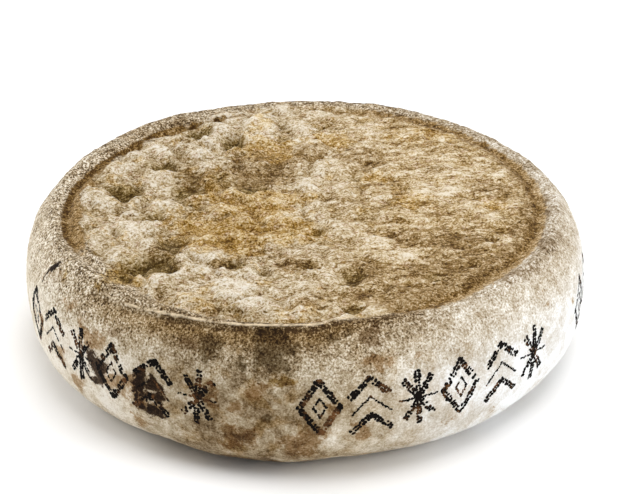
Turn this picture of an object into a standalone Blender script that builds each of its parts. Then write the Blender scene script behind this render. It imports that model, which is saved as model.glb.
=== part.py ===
"""A whole, uncut wheel of tomme: a pressed cow's milk cheese with a thick grey rind.

The wheel is one solid. A meridian (half of its upright section) runs from the middle of the
top, over the rim and the bulging side, to the middle of the underside. Rings of points are
laid along it, each pushed in or out by the relief of the rind, and neighbouring rings are
zipped together with triangles. The origin is the middle of the underside, with +Z up.
All sizes are in metres.
"""

import bisect
import math
import random
from typing import NamedTuple

import bmesh
import bpy
from mathutils import Vector, noise

# Driving dimensions
WHEEL_DIAMETER = 0.200
WHEEL_HEIGHT = 0.0558  # to the plain top, between the relief's crests and hollows
HEEL_WIDTH = 0.0214  # from the widest part of the side in to where the faces turn flat
HEEL_ROUNDNESS = 2.57  # 2 is an ellipse, more is squarer

# Rim of the top: a rounded lip, and the furrow that the pressing mould left inside it
LIP_RADIUS = 0.0895
LIP_HEIGHT = 0.0011
LIP_WIDTH = 0.0022
FURROW_RADIUS = 0.0842
FURROW_DEPTH = 0.0030
FURROW_WIDTH = 0.0027
RIM_WANDER = 0.0013  # how far lip and furrow stray from a true circle
RIM_WANDER_SIZE = 0.045
# How deep the furrow is round the rim: (degrees from +X, share of the full depth)
FURROW_ROUND = (
    (-180, 1.00),
    (-145, 0.75),
    (-118, 0.10),
    (-82, 0.10),
    (-52, 0.60),
    (0, 0.75),
    (55, 0.60),
    (95, 0.25),
    (125, 0.80),
    (180, 1.00),
)
CRUST_RADIUS = 0.0818  # the crust of the top ends here where the furrow is deep
CRUST_SPREAD = 0.0075  # how much further it reaches where there is no furrow
CRUST_FADE = 0.0018
SCALLOP_SIZE = 0.0120  # the crust's edge goes in and out by its scallops
SCALLOP_REACH = 0.0040

# Relief of the crust: mounds with creases between them, and wrinkles on the mounds
CRUST_LEVEL = -0.0004
MOUND_SIZE = 0.0155
MOUND_HEIGHT = 0.0021
CREASE_SHARE = 0.42  # of a mound's width that slopes down to its creases
WRINKLE_SIZE = 0.0095
WRINKLE_HEIGHT = 0.0021
WRINKLE_OCTAVES = 2
WARP_SIZE = 0.0110
WARP_REACH = 0.0034
CALM_SHARE = 0.45  # of the relief that is left on the calmer +X part of the top
CALM_FROM = -0.030
CALM_TO = 0.045

# Relief of the side: the soft unevenness of a cheese that was turned and rubbed by hand
SWELL_SIZE = 0.034
SWELL_HEIGHT = 0.0009
DENT_SIZE = 0.011
DENT_HEIGHT = 0.00035

REST_RADIUS = 0.0745  # the underside is a true flat up to here
HEEL_CLEAR = 0.010  # below this height the relief only goes inwards
# How far the heel is worn in round the wheel: (degrees from +X, depth)
HEEL_ROUND = (
    (-180, 0.0003),
    (-150, 0.0010),
    (-125, 0.0014),
    (-108, 0.0002),
    (-95, 0.0000),
    (-82, 0.0016),
    (-15, 0.0018),
    (40, 0.0008),
    (180, 0.0003),
)

# Lengths of the triangles' edges, and between which shares of the height they change
CRUST_EDGE = 0.0032
SIDE_EDGE = 0.0060
FINE_FROM = 0.97
COARSE_FROM = 0.80

MERIDIAN_STEPS = 400
NORMAL_STRETCH = 0.0004  # half of the stretch over which a normal is taken
ROW_HEIGHT = math.sqrt(3) / 2  # of a triangle with sides of 1


class Pit(NamedTuple):
    """A hole in the crust of the top, at x, y."""

    x: float
    y: float
    radius: float
    depth: float


# The deep pits that stand out on the top, the largest by the -X rim
DEEP_PITS = (
    Pit(-0.0395, 0.0600, 0.0065, 0.0026),
    Pit(-0.0275, 0.0530, 0.0065, 0.0028),
    Pit(-0.0525, 0.0320, 0.0072, 0.0028),
    Pit(-0.0660, 0.0110, 0.0088, 0.0028),
    Pit(-0.0425, 0.0115, 0.0078, 0.0022),
    Pit(-0.0195, 0.0125, 0.0065, 0.0020),
    Pit(-0.0555, -0.0095, 0.0072, 0.0016),
    Pit(-0.0465, -0.0300, 0.0062, 0.0016),
    Pit(-0.0530, -0.0460, 0.0115, 0.0030),
    Pit(-0.0625, -0.0550, 0.0065, 0.0026),
    Pit(-0.0240, -0.0475, 0.0060, 0.0014),
    Pit(0.0155, -0.0550, 0.0070, 0.0015),
    Pit(0.0160, -0.0780, 0.0048, 0.0020),
)
SMALL_PIT_COUNT = 26
SMALL_PIT_SPREAD = 0.93  # of the crust's radius, clear of the furrow
SMALL_PIT_RADII = (0.0028, 0.0052)
SMALL_PIT_DEPTHS = (0.0005, 0.0012)
# A pit is steep on one side, under a raised edge, and slopes gently into it on the other
STEEP_SIDE = Vector((0.45, -0.89, 0.0))
STEEP_FLOOR = 0.62  # shares of a pit's radius that are floor, the rest being its wall
GENTLE_FLOOR = 0.10
EDGE_SHARE = 0.35  # height of the raised edge, as a share of the pit's depth
EDGE_AWAY = 1.15  # place and width of the raised edge, in radii of the pit
EDGE_WIDTH = 0.28
PIT_REACH = 2.0
PIT_RAGGEDNESS = 0.40
PIT_RAG_SIZE = 0.006
PIT_SEED = 73

# Mean heights of the crust's patterns, which are taken off so that its level stays
MEAN_MOUND = 0.72
MEAN_WRINKLE = 0.36

RIND_COLOUR = (0.52, 0.44, 0.31, 1.0)
RIND_ROUGHNESS = 0.92


def smooth_step(low, high, value):
    """0 below low, 1 above high, and an S-curve between them."""
    share = min(1.0, max(0.0, (value - low) / (high - low)))
    return share * share * (3 - 2 * share)


def bell(value, centre, width):
    """A smooth bump of height 1 round centre."""
    return math.exp(-(((value - centre) / width) ** 2))


def billow(point, size, octaves):
    """Rounded lumps of about that size, 0 in the creases between them."""
    return sum(
        abs(noise.noise(point * (2**octave / size))) * 0.5**octave for octave in range(octaves)
    )


def small_pits():
    """Pits strewn over the crust by a seeded draw."""
    draw = random.Random(PIT_SEED)
    pits = []
    for _ in range(SMALL_PIT_COUNT):
        distance = CRUST_RADIUS * SMALL_PIT_SPREAD * math.sqrt(draw.random())
        angle = draw.uniform(0, 2 * math.pi)
        pits.append(
            Pit(
                distance * math.cos(angle),
                distance * math.sin(angle),
                draw.uniform(*SMALL_PIT_RADII),
                draw.uniform(*SMALL_PIT_DEPTHS),
            )
        )
    return pits


def pit_height(flat, pits):
    """The pits and their raised edges, at a point of the top."""
    hollow = edge = 0.0
    for pit in pits:
        offset = flat - Vector((pit.x, pit.y, 0.0))
        if offset.length < PIT_REACH * pit.radius:
            away = offset.length / pit.radius + PIT_RAGGEDNESS * noise.noise(flat / PIT_RAG_SIZE)
            steep = 0.5 + 0.5 * offset.normalized().dot(STEEP_SIDE)
            floor = GENTLE_FLOOR + (STEEP_FLOOR - GENTLE_FLOOR) * steep
            hollow = max(hollow, pit.depth * (1 - smooth_step(floor, 1.0, away)))
            edge = max(edge, EDGE_SHARE * pit.depth * steep * bell(away, EDGE_AWAY, EDGE_WIDTH))
    return edge - hollow


def crust_height(flat, pits):
    """Relief of the crust on the top."""
    warped = flat + noise.noise_vector(flat / WARP_SIZE) * WARP_REACH
    nearest, second = noise.voronoi(warped / MOUND_SIZE)[0][:2]
    mounds = smooth_step(0, CREASE_SHARE, second - nearest) - MEAN_MOUND
    wrinkles = billow(warped, WRINKLE_SIZE, WRINKLE_OCTAVES) - MEAN_WRINKLE
    vigour = 1 - (1 - CALM_SHARE) * smooth_step(CALM_FROM, CALM_TO, flat.x)
    bumps = MOUND_HEIGHT * mounds + WRINKLE_HEIGHT * wrinkles
    return CRUST_LEVEL + vigour * bumps + pit_height(flat, pits)


def value_round(table, point):
    """What a table of (degrees from +X, value) gives in a point's direction from the axis."""
    angle = math.degrees(math.atan2(point.y, point.x))
    for (angle0, value0), (angle1, value1) in zip(table, table[1:]):
        if angle <= angle1:
            return value0 + (value1 - value0) * smooth_step(angle0, angle1, angle)
    return table[-1][1]


def side_height(point):
    """Soft swells and dents of the side, turned inwards low down, and the worn heel."""
    height = SWELL_HEIGHT * noise.noise(point / SWELL_SIZE) + DENT_HEIGHT * noise.noise(point / DENT_SIZE)
    low = 1 - smooth_step(0, HEEL_CLEAR, point.z)
    worn = value_round(HEEL_ROUND, point) * (1 - smooth_step(0, WHEEL_HEIGHT / 2, point.z))
    return height * (1 - low) - abs(height) * low - worn


def relief(point, pits):
    """How far the rind stands out, along the normal, at a point of the plain wheel."""
    radius = math.hypot(point.x, point.y)
    if point.z < WHEEL_HEIGHT / 2:
        return side_height(point) * smooth_step(REST_RADIUS, REST_RADIUS + HEEL_WIDTH / 2, radius)
    flat = Vector((point.x, point.y, 0.0))
    wander = RIM_WANDER * noise.noise(flat / RIM_WANDER_SIZE)
    share = value_round(FURROW_ROUND, flat)
    scallop = share * SCALLOP_REACH * noise.noise(flat / SCALLOP_SIZE)
    edge = CRUST_RADIUS + CRUST_SPREAD * (1 - share) + wander - abs(scallop)
    on_crust = 1 - smooth_step(edge - CRUST_FADE, edge + CRUST_FADE, radius)
    height = side_height(point) * (1 - on_crust)
    height += LIP_HEIGHT * bell(radius, LIP_RADIUS + wander, LIP_WIDTH)
    height -= FURROW_DEPTH * share * bell(radius, FURROW_RADIUS + wander, FURROW_WIDTH)
    if on_crust > 0:
        height += on_crust * crust_height(flat, pits)
    return height


def meridian():
    """Points (radius, height) of the plain wheel's half section, from the top's middle down."""
    outer = WHEEL_DIAMETER / 2
    middle = WHEEL_HEIGHT / 2
    points = [(0.0, WHEEL_HEIGHT)]
    for step in range(MERIDIAN_STEPS + 1):
        turn = math.pi * step / MERIDIAN_STEPS
        reach = max(0.0, math.sin(turn)) ** (2 / HEEL_ROUNDNESS)
        rise = math.copysign(abs(math.cos(turn)) ** (2 / HEEL_ROUNDNESS), math.cos(turn))
        points.append((outer - HEEL_WIDTH * (1 - reach), middle * (1 + rise)))
    points.append((0.0, 0.0))
    return points


class Meridian:
    """The half section measured by the length along it."""

    def __init__(self):
        self.points = meridian()
        self.lengths = [0.0]
        for (r0, z0), (r1, z1) in zip(self.points, self.points[1:]):
            self.lengths.append(self.lengths[-1] + math.hypot(r1 - r0, z1 - z0))

    def at(self, length):
        """(radius, height) that far along."""
        index = min(max(bisect.bisect_right(self.lengths, length), 1), len(self.points) - 1)
        before, after = self.points[index - 1], self.points[index]
        span = self.lengths[index] - self.lengths[index - 1]
        share = (length - self.lengths[index - 1]) / span if span else 0.0
        return tuple(a + (b - a) * share for a, b in zip(before, after))

    def normal(self, length):
        """(outward, upward) parts of the normal, taken over a short stretch."""
        r0, z0 = self.at(max(0.0, length - NORMAL_STRETCH))
        r1, z1 = self.at(min(self.lengths[-1], length + NORMAL_STRETCH))
        size = math.hypot(r1 - r0, z1 - z0)
        return (z0 - z1) / size, (r1 - r0) / size


def edge_length(radius, height):
    """Fine on the crust and its rim, coarser down the side."""
    top = smooth_step(WHEEL_HEIGHT * COARSE_FROM, WHEEL_HEIGHT * FINE_FROM, height)
    return SIDE_EDGE + (CRUST_EDGE - SIDE_EDGE) * top


def ring_stations(section):
    """Lengths along the meridian at which rings of points lie, down to the flat underside."""
    stations = []
    length = CRUST_EDGE * ROW_HEIGHT
    while True:
        radius, height = section.at(length)
        if height < WHEEL_HEIGHT / 4 and radius < REST_RADIUS:
            return stations
        stations.append(length)
        length += edge_length(radius, height) * ROW_HEIGHT


def add_ring(mesh, section, length, index, pits):
    """One ring of vertices, pushed in or out by the relief."""
    radius, height = section.at(length)
    outward, upward = section.normal(length)
    count = max(6, round(2 * math.pi * radius / edge_length(radius, height)))
    ring = []
    for step in range(count):
        angle = 2 * math.pi * (step + 0.5 * (index % 2)) / count
        plain = Vector((radius * math.cos(angle), radius * math.sin(angle), height))
        normal = Vector((outward * math.cos(angle), outward * math.sin(angle), upward))
        ring.append(mesh.verts.new(plain + normal * relief(plain, pits)))
    return ring


def zip_rings(mesh, inner, outer):
    """Triangles between two rings, whose counts of vertices may differ."""
    i = j = 0
    while i < len(inner) or j < len(outer):
        here, there = inner[i % len(inner)], outer[j % len(outer)]
        if j >= len(outer) or (i < len(inner) and (i + 1) * len(outer) <= (j + 1) * len(inner)):
            i += 1
            mesh.faces.new((here, there, inner[i % len(inner)]))
        else:
            j += 1
            mesh.faces.new((here, there, outer[j % len(outer)]))


def close_ring(mesh, ring, middle):
    """A fan of triangles from a ring to one vertex."""
    for here, there in zip(ring, ring[1:] + ring[:1]):
        mesh.faces.new((here, there, middle))


def centre_on_axis(mesh):
    """Moves the uneven wheel so that its box is centred over the origin."""
    for axis in (0, 1):
        places = [vertex.co[axis] for vertex in mesh.verts]
        shift = (min(places) + max(places)) / 2
        for vertex in mesh.verts:
            vertex.co[axis] -= shift


def rind_material():
    """Dull grey-beige rind."""
    material = bpy.data.materials.new("rind")
    material.use_nodes = True
    shader = material.node_tree.nodes["Principled BSDF"]
    shader.inputs["Base Color"].default_value = RIND_COLOUR
    shader.inputs["Roughness"].default_value = RIND_ROUGHNESS
    shader.inputs["Metallic"].default_value = 0.0
    return material


def build_wheel():
    """The wheel as one closed mesh."""
    section = Meridian()
    pits = list(DEEP_PITS) + small_pits()
    mesh = bmesh.new()
    rings = [
        add_ring(mesh, section, length, index, pits)
        for index, length in enumerate(ring_stations(section))
    ]
    for inner, outer in zip(rings, rings[1:]):
        zip_rings(mesh, inner, outer)
    top = Vector((0.0, 0.0, WHEEL_HEIGHT))
    close_ring(mesh, rings[0], mesh.verts.new(top + Vector((0, 0, relief(top, pits)))))
    for vertex in rings[-1]:
        vertex.co.z = 0.0
    close_ring(mesh, rings[-1], mesh.verts.new((0.0, 0.0, 0.0)))
    centre_on_axis(mesh)
    bmesh.ops.recalc_face_normals(mesh, faces=mesh.faces)
    data = bpy.data.meshes.new("cheese_wheel")
    mesh.to_mesh(data)
    mesh.free()
    data.shade_smooth()
    data.materials.append(rind_material())
    wheel = bpy.data.objects.new("cheese_wheel", data)
    bpy.context.scene.collection.objects.link(wheel)
    return wheel


for old in list(bpy.data.objects):
    bpy.data.objects.remove(old)
build_wheel()
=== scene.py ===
"""Looks of a whole wheel of tomme: its rind in fine relief, with mould, stains and a dotted band.

The wheel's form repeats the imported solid's, with finer relief on it.
Everything is in metres. The wheel stands on the floor at the origin, with +Z up, and the
camera looks along +Y from in front and above. Directions round the wheel are in degrees
from +X.
"""

import bisect
import logging
import math
import random
from dataclasses import dataclass, field
from enum import Enum
from typing import NamedTuple, Sequence

import bpy
import numpy as np
from mathutils import Matrix, Vector, noise


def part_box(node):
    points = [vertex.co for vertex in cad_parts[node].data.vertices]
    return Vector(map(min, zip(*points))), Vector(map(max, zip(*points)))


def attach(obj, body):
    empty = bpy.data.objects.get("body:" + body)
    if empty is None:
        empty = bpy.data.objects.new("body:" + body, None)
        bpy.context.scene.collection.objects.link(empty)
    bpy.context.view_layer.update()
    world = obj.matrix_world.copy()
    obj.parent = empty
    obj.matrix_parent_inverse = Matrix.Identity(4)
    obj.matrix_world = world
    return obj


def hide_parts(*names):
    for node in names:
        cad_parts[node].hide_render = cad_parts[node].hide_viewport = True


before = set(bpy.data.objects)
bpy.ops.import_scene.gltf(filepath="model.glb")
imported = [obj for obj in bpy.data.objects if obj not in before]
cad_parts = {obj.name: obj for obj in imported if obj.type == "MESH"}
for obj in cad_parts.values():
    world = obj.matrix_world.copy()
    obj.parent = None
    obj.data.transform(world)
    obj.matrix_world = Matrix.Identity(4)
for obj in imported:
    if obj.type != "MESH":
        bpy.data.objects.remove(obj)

BODY = "root"
WHEEL_NODE = "cheese_wheel"
MILLIMETRE = 0.001
DRIFT_AWAY = Vector((9.3, -1.5, 4.7))  # keeps the noise of one direction apart from the next

Colour = tuple[float, float, float, float]
RoundTable = Sequence[tuple[float, float]]
StainRows = tuple[tuple[float, float, float, float], ...]
Piece = bpy.types.Object
Socket = bpy.types.NodeSocket
Node = bpy.types.Node
Tree = bpy.types.NodeTree

log = logging.getLogger("cheese_wheel")


def linear(*levels: int) -> Colour:
    """Red, green and blue as shown on a screen, 0 to 255, as a linear colour with alpha 1."""
    shares = [level / 255 for level in levels]
    return (*(s / 12.92 if s <= 0.04045 else ((s + 0.055) / 1.055) ** 2.4 for s in shares), 1.0)


def tones(*levels: tuple[int, int, int]) -> tuple[Colour, ...]:
    """Colours as shown on a screen, as linear colours."""
    return tuple(linear(*level) for level in levels)


def film(*passed: float) -> tuple[Colour, ...]:
    """What a film lets through of red, green and blue: without it, at half its depth and in full."""
    return tuple((*(share**depth for share in passed), 1.0) for depth in (0.0, 0.5, 1.0))


def smooth_step(low: float, high: float, value: float) -> float:
    """0 below low, 1 above high, and an S-curve between them."""
    share = min(1.0, max(0.0, (value - low) / (high - low)))
    return share * share * (3 - 2 * share)


def bell(value: float, centre: float, width: float) -> float:
    """A smooth bump of height 1 round centre."""
    return math.exp(-(((value - centre) / width) ** 2))


def drift(point: Vector) -> Vector:
    """Noise in each of the three directions, the same each run."""
    places = (point, point.yzx + DRIFT_AWAY, point.zxy - DRIFT_AWAY)
    return Vector([noise.noise(place) for place in places])


def billow(point: Vector, size: float, octaves: int) -> float:
    """Rounded lumps of about that size, 0 in the creases between them."""
    return sum(abs(noise.noise(point * (2**octave / size))) * 0.5**octave for octave in range(octaves))


def value_round(table: RoundTable, angle: float) -> float:
    """What a table of (degrees from +X, value) gives in a direction.

    Args:
        table: pairs from -180 to 180 degrees, in order.
        angle: the direction in degrees.

    Returns:
        The value, eased between the two nearest pairs.
    """
    for (angle0, value0), (angle1, value1) in zip(table, table[1:]):
        if angle <= angle1:
            return value0 + (value1 - value0) * smooth_step(angle0, angle1, angle)
    return table[-1][1]


class Tint(Enum):
    """Single colours, as linear colours."""

    # Painted highlight along the top of the front ridge
    RIDGE_HIGHLIGHT = linear(228, 208, 176)
    INK = linear(14, 9, 6)
    INK_WORN = linear(112, 76, 44)
    FLOOR = linear(248, 248, 248)


class Film(Enum):
    """Stains that colour what lies below them; the darkest also paints the shade in the crack below the rim.
    """

    OCHRE = film(0.50, 0.36, 0.14)
    RUST = film(0.44, 0.30, 0.17)
    BROWN = film(0.30, 0.22, 0.14)
    GREY = film(0.27, 0.23, 0.16)
    # Ink smudges, and the painted shade in the crack below the rim
    SMUDGE = film(0.030, 0.015, 0.006)


class Tones(Enum):
    """Ranges of rind colour, each in even steps from its darkest to its lightest."""

    CRUST = tones((78, 52, 18), (130, 103, 55), (182, 161, 124), (216, 202, 177), (234, 226, 212))
    GOLDEN = tones((84, 54, 8), (132, 95, 26), (180, 144, 76), (214, 190, 144), (232, 217, 188))
    WORN = tones((60, 38, 12), (106, 78, 34), (152, 122, 75), (192, 170, 134), (222, 206, 178))
    RUSTY = tones((72, 42, 20), (118, 80, 46), (168, 132, 98), (208, 184, 160), (232, 220, 206))
    OLIVE = tones((64, 48, 16), (106, 82, 34), (152, 128, 76), (194, 174, 132), (222, 208, 180))
    SIDE = tones((62, 46, 28), (120, 98, 68), (168, 150, 120), (207, 194, 171), (238, 231, 218))
    MOULD = tones((66, 52, 36), (124, 105, 80), (172, 158, 136), (210, 204, 194), (240, 241, 241))


class StainKind(Enum):
    """The kinds of stain, each with the name of the mesh attribute that holds it."""

    GOLDEN = "golden"
    BROWN = "brown"
    RUSTY = "rusty"
    GREY = "grey"
    PALE = "pale"
    SMUDGED = "smudged"


# Stains of the top: x, y and radius in millimetres, and strength
TOP_STAINS: dict[StainKind, StainRows] = {
    StainKind.GOLDEN: (
        (-26, -24, 17, 1.0), (-16, -4, 16, 0.9), (-6, -22, 14, 0.9), (-38, -16, 13, 0.8),
        (-30, 4, 13, 0.7), (-34, 20, 13, 0.6), (-62, -54, 9, 0.9), (-55, -42, 9, 0.5),
        (-22, 52, 8, 0.6), (-4, -80, 10, 0.5), (-36, -72, 9, 0.5),
    ),
    StainKind.BROWN: (
        (-22, 22, 12, 0.9), (-38, 22, 9, 0.7), (-46, -31, 7, 0.8), (-2, -45, 9, 0.7),
        (-25, -47, 8, 0.8), (4, -68, 6, 0.6), (1, -75, 5, 0.8), (20, -52, 9, 0.8), (21, -70, 6, 0.9),
        (54, -31, 14, 0.9), (36, -27, 9, 0.7), (46, -53, 14, 1.0), (30, -68, 11, 0.8),
        (66, -46, 12, 0.9), (78, -24, 10, 0.9), (84, 0, 9, 0.8), (-30, -75, 6, 0.6), (-46, -68, 6, 0.5),
    ),
    StainKind.PALE: (
        (-58, 42, 14, 0.7), (-66, -12, 11, 0.8), (-60, -26, 9, 0.6), (-20, 66, 14, 0.6),
        (-34, -57, 11, 0.8), (-14, -63, 12, 0.8), (8, -58, 9, 0.6), (-46, 2, 8, 0.6),
    ),
}
# Stains of the side: degrees from +X, height and radius in millimetres, and strength
SIDE_STAINS: dict[StainKind, StainRows] = {
    StainKind.GREY: (
        (-96, 50, 8, 1.0), (-109, 47, 6, 0.7), (-102, 43, 4, 0.8), (-108, 43, 4, 0.6),
        (-84, 52, 6, 0.6), (-98, 22, 5, 0.5),
    ),
    StainKind.GOLDEN: (
        (-95.5, 40.5, 5, 1.0), (-151.0, 51.5, 7.0, 0.4),
    ),
    StainKind.RUSTY: (
        (-98.4, 35, 4.5, 0.9), (-106.4, 30.4, 4, 1.0), (-103.6, 29.6, 4, 1.0), (-107, 34, 3.5, 0.7),
        (-103, 14.5, 7, 0.8), (-91, 16, 8, 0.8), (-86, 31, 4, 0.6), (-88.5, 22, 4, 0.6),
        (-79, 20, 4, 0.8), (-76, 43.5, 5, 0.9), (-69, 44.5, 3, 0.5), (-66, 32, 4, 0.3),
        (-61, 17, 5, 0.4), (-124, 13, 6, 0.8), (-142, 15, 5, 0.9), (-147, 23, 5, 0.9),
        (-138, 37, 5, 0.9), (-144, 46, 6, 0.6), (-156, 28, 4, 0.9), (-157.0, 47.2, 3.0, 0.7),
        (-136, 37, 5.0, 0.9), (-127.0, 26.6, 7, 1.0), (-123.0, 24.0, 6, 0.8), (-21, 35, 3, 0.9),
        (-32, 44, 3, 0.7), (-50, 12, 5, 0.4),
    ),
    StainKind.BROWN: (
        (-76.5, 52, 4, 0.8), (-115, 46, 6, 0.7), (-152.5, 49.0, 7.0, 0.4), (-131, 43, 5, 0.5),
    ),
    StainKind.SMUDGED: (
        (-135.1, 31.6, 3.6, 1.0), (-134.0, 28.3, 4.6, 1.3), (-132.4, 24.6, 3.6, 1.2),
        (-136.5, 24.8, 3.2, 0.8), (-125.0, 30.3, 3.4, 1.2), (-123.6, 27.6, 4.4, 1.3),
        (-120.3, 31.0, 3.0, 1.1), (-119.9, 25.5, 3.4, 1.2), (-120.2, 20.4, 3.4, 1.1),
        (-123.3, 22.2, 3.0, 1.0),
    ),
}


class Grain(NamedTuple):
    """What a noise looks like: its size, and how detailed, rough and twisted it is."""

    size: float
    detail: float = 3.0
    rough: float = 0.55
    twist: float = 0.0


class Pit(NamedTuple):
    """A hole in the crust of the top, at x, y."""

    x: float
    y: float
    radius: float
    depth: float


class Stain(NamedTuple):
    """A stained place on the rind, out to about radius from place."""

    kind: StainKind
    place: Vector
    radius: float
    strength: float


class RindPoint(NamedTuple):
    """What the rind is like at one point."""

    height: float  # how far it stands out from the plain wheel
    crust: float = 0.0  # 1 on the crust of the top, 0 on rim and side
    pit: float = 0.0  # 1 at the floor of a deep pit, painted olive and darker there as painted shade
    crease_and_shade: float = 0.0  # 1 at the bottom of a crease between mounds, at the foot of a steep pit wall and in the dent outside the front ridge; painted as shade
    furrow: float = 0.0  # 1 from the crust's edge to the foot of the lip, where the furrow is deepest
    gutter_shade: float = 0.0  # 1 along the foot of the lip's inner wall, for painted shade
    ridge: float = 0.0  # 1 on the thin ridge in front, whose top gets a painted highlight
    band: float = 0.0  # 1 in the band just outside that ridge, brown dirt with painted shadow under the ridge
    fine: float = 0.0  # the part of the height, in millimetres, that the solid doesn't hold


@dataclass(frozen=True)
class RimSizes:
    """The lip round the top, the furrow inside it and the thin ridge in front."""

    lip_radius: float = 0.0895
    lip_height: float = 0.0011
    lip_width: float = 0.0022
    furrow_line: RoundTable = (
        (-180, 0.0848), (-168, 0.0858), (-120, 0.0846), (-52, 0.0842), (0, 0.0838), (60, 0.0842),
        (108, 0.0808), (118, 0.0796), (132, 0.0820), (145, 0.0812), (158, 0.0822), (180, 0.0848),
    )
    furrow_depth: float = 0.0030
    furrow_width: float = 0.0027
    wander: float = 0.0009
    wander_size: float = 0.045
    furrow_round: RoundTable = (
        (-180, 1.00), (-145, 0.75), (-118, 0.10), (-82, 0.10), (-52, 0.60), (0, 0.75), (55, 0.60),
        (95, 0.25), (125, 0.80), (180, 1.00),
    )
    ridge_height: float = 0.00050
    ridge_width: float = 0.00045
    ridge_rag_size: float = 0.0035
    ridge_mean: float = 0.85
    ridge_swing: float = 0.6
    # The dent just outside the front ridge, also painted dark as its shadow: how far out, how deep and how
    # wide
    crease_away: float = 0.0014
    crease_depth: float = 0.00050
    crease_width: float = 0.0009
    # Where the painted shade along the foot of the lip's inner wall lies from the furrow line, round the
    # wheel, and how wide
    gutter_round: RoundTable = (
        (-180, 0.0014), (-100, 0.0010), (-64, 0.0030), (-53, -0.0005), (-42, -0.0034), (-30, -0.0015),
        (5, -0.0012), (40, 0.0005), (100, 0.0012), (180, 0.0014),
    )
    gutter_width: float = 0.0021
    soil_away: float = 0.0008
    soil_in: float = 0.0022
    soil_out: RoundTable = (
        (-180, 0.0022), (-90, 0.0030), (-62, 0.0058), (-45, 0.0040), (0, 0.0030), (60, 0.0026),
        (110, 0.0018), (180, 0.0022),
    )
    soil_width: RoundTable = (
        (-180, 0.0062), (-140, 0.0050), (-75, 0.0080), (-48, 0.0092), (-30, 0.0075), (0, 0.0060),
        (30, 0.0055), (100, 0.0034), (118, 0.0024), (140, 0.0034), (158, 0.0026), (170, 0.0046),
        (180, 0.0062),
    )
    soil_round: RoundTable = (
        (-180, 1.00), (-163, 1.00), (-150, 0.12), (-118, 0.00), (-80, 0.00), (-68, 0.60), (-58, 1.00),
        (0, 1.00), (55, 0.80), (95, 0.30), (125, 0.85), (180, 1.00),
    )
    roughness: float = 0.45
    rough_to: float = 0.0940
    # The band outside the front ridge, brown dirt with painted shadow under the ridge: how far out and how
    # wide
    band_away: float = 0.0032
    band_width: float = 0.0030
    ridge_round: RoundTable = (
        (-180, 0.0), (-148, 0.0), (-132, 0.7), (-118, 1.0), (-84, 1.0), (-72, 0.5), (-58, 0.0),
        (180, 0.0),
    )
    ridge_line: RoundTable = (
        (-180, 0.0922), (-135, 0.0921), (-112, 0.0905), (-89, 0.0893), (-80, 0.0866), (-70, 0.0848),
        (180, 0.0848),
    )


@dataclass(frozen=True)
class CrustSizes:
    """The craggy crust of the top."""

    radius: float = 0.0804
    spread: float = 0.0080
    fade: float = 0.0013
    scallop_size: float = 0.0120
    scallop_reach: float = 0.0052
    level: float = -0.0004
    mound_size: float = 0.0155
    mound_height: float = 0.0021
    crease_share: float = 0.42
    wrinkle_size: float = 0.0095
    wrinkle_height: float = 0.0021
    wrinkle_octaves: int = 2
    warp_size: float = 0.0110
    warp_reach: float = 0.0034
    calm_share: float = 0.45
    calm_from: float = -0.030
    calm_to: float = 0.045
    mean_mound: float = 0.72
    mean_wrinkle: float = 0.36
    knob_size: float = 0.0040
    knob_height: float = 0.00085
    knob_mean: float = 0.34
    fibre_length: float = 0.0080
    fibre_width: float = 0.0022
    fibre_turn: float = 20.0
    fibre_height: float = 0.00034
    grit_size: float = 0.0014
    grit_height: float = 0.00018


@dataclass(frozen=True)
class SideSizes:
    """The unevenness of the side, the heel and the underside."""

    swell_size: float = 0.034
    swell_height: float = 0.0009
    dent_size: float = 0.011
    dent_height: float = 0.00035
    pock_size: float = 0.0026
    pock_height: float = 0.00022
    grit_size: float = 0.0013
    grit_height: float = 0.00010
    rest_radius: float = 0.0745
    heel_clear: float = 0.010
    heel_round: RoundTable = (
        (-180, 0.0003), (-150, 0.0010), (-125, 0.0014), (-108, 0.0002), (-95, 0.0000), (-82, 0.0016),
        (-15, 0.0018), (40, 0.0008), (180, 0.0003),
    )
    hollow_depth: float = 0.0009
    hollow_size: float = 0.0150
    hollow_share: float = 0.7
    pock_share: float = 0.6


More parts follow.
